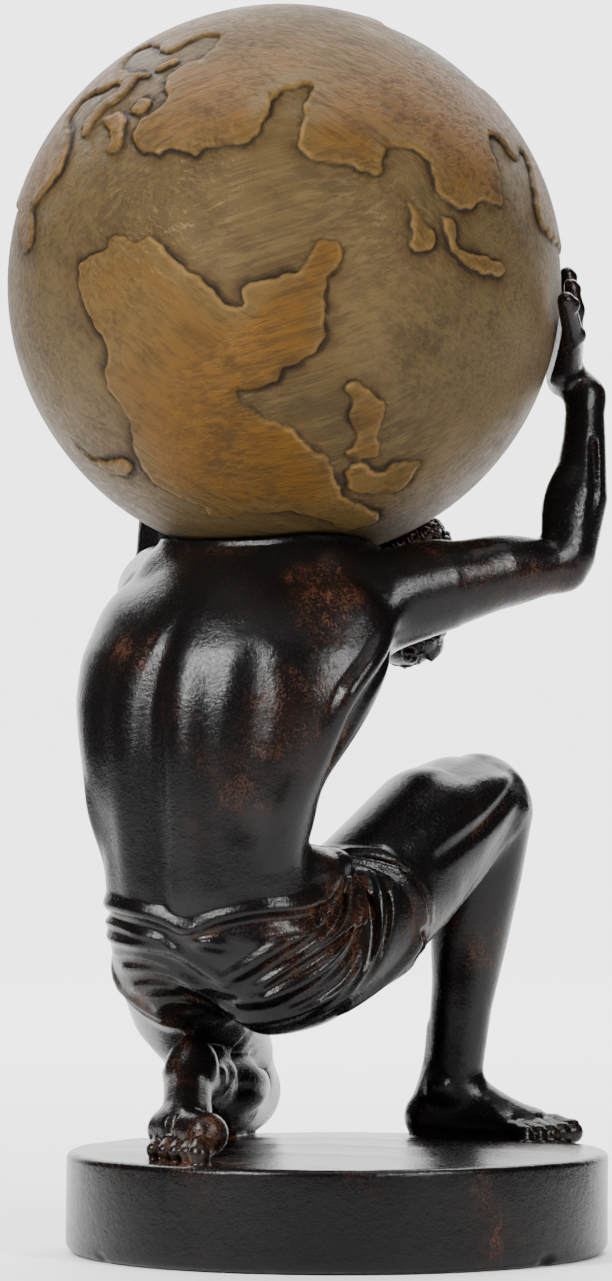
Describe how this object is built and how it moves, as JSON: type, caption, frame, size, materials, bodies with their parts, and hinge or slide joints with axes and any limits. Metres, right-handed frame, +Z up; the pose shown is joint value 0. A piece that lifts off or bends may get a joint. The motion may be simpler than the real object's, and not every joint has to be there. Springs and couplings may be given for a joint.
{
  "type": "atlas statue",
  "caption": "Kneeling bearded figure on a round plinth, carrying a globe on its shoulders between raised hands.",
  "frame": {"origin": "centre of the plinth's round underside", "axes": "+Z up through the globe, -Y the way the figure faces, +X towards the figure's left hand"},
  "size_m": [0.15, 0.1434, 0.3084],
  "materials": {
    "dark_patina": "satin near-black brown with rust-brown rubbing in the hollows",
    "antique_gold": "brushed, aged gold, duller on the oceans and darker in patches on the lands"
  },
  "bodies": {
    "root": {"atlas_figure_and_plinth": "dark_patina", "globe": "antique_gold"}
  },
  "joints": []
}
